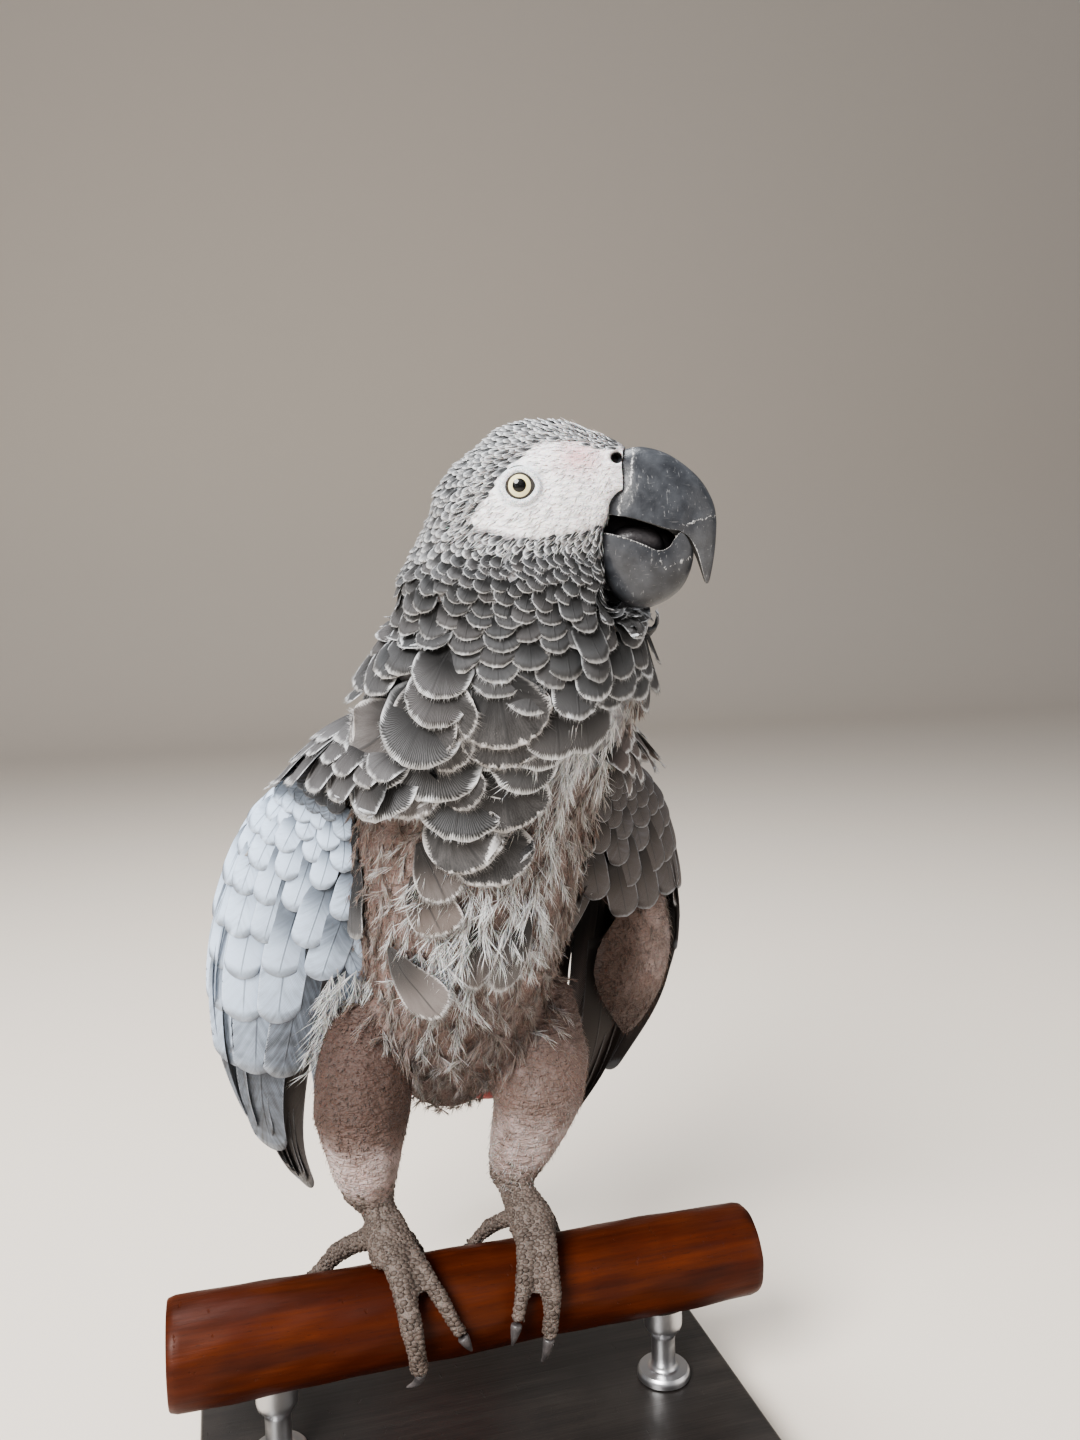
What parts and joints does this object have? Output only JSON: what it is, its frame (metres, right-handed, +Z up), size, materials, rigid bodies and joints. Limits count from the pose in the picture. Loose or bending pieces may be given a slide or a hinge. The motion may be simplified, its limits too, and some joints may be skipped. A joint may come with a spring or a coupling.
{
  "type": "african grey parrot on a perch",
  "caption": "African grey parrot with a feather-plucked breast and bare legs, gripping a short cut perch held by a plain display stand.",
  "frame": {"origin": "centre of the display base's underside, on the floor", "axes": "+Z up; +Y towards the bird's back and tail; +X towards the bird's left, with the perch along X"},
  "size_m": [0.19, 0.1859, 0.3236],
  "materials": {
    "head_feathers": "small slate-grey scale feathers with pale edges",
    "body_feathers": "large slate-grey feathers with thin pale fringes",
    "down": "loose whitish-grey down",
    "wing_coverts": "pale blue-grey covert feathers with light edges",
    "flight_feathers": "stiff dark-grey flight feathers, satin",
    "tail_feathers": "red tail feathers, satin",
    "bare_skin": "bare brownish-pink skin with feather follicles",
    "face_skin": "bare white face skin with short fine filaments",
    "foot_scales": "grey-brown granular scales, matt",
    "claw_horn": "dark claw horn, satin",
    "beak_horn": "dark slate beak horn with pale flaky lines, satin",
    "tongue_skin": "dark moist skin",
    "eyeball": "pale yellow iris and black pupil, wet gloss",
    "perch_wood": "red-brown oiled wood with scratches",
    "base_wood": "black-stained wood, satin",
    "rod_steel": "brushed steel"
  },
  "bodies": {
    "root": {"head": "head_feathers", "neck": "body_feathers", "trunk": "body_feathers", "wing_left_coverts": "wing_coverts", "wing_right_coverts": "wing_coverts", "wing_left_secondaries": "flight_feathers", "wing_right_secondaries": "flight_feathers", "wing_left_primaries": "flight_feathers", "wing_right_primaries": "flight_feathers", "tail": "tail_feathers", "thigh_left": "bare_skin", "thigh_right": "bare_skin", "foot_left": "foot_scales", "foot_right": "foot_scales", "claw_left_1": "claw_horn", "claw_left_2": "claw_horn", "claw_left_3": "claw_horn", "claw_left_4": "claw_horn", "claw_right_1": "claw_horn", "claw_right_2": "claw_horn", "claw_right_3": "claw_horn", "claw_right_4": "claw_horn", "beak_upper": "beak_horn", "beak_lower": "beak_horn", "tongue": "tongue_skin", "eye_left": "eyeball", "eye_right": "eyeball", "perch": "perch_wood", "stand_base": "base_wood", "stand_rod_left": "rod_steel", "stand_rod_right": "rod_steel"}
  },
  "joints": []
}
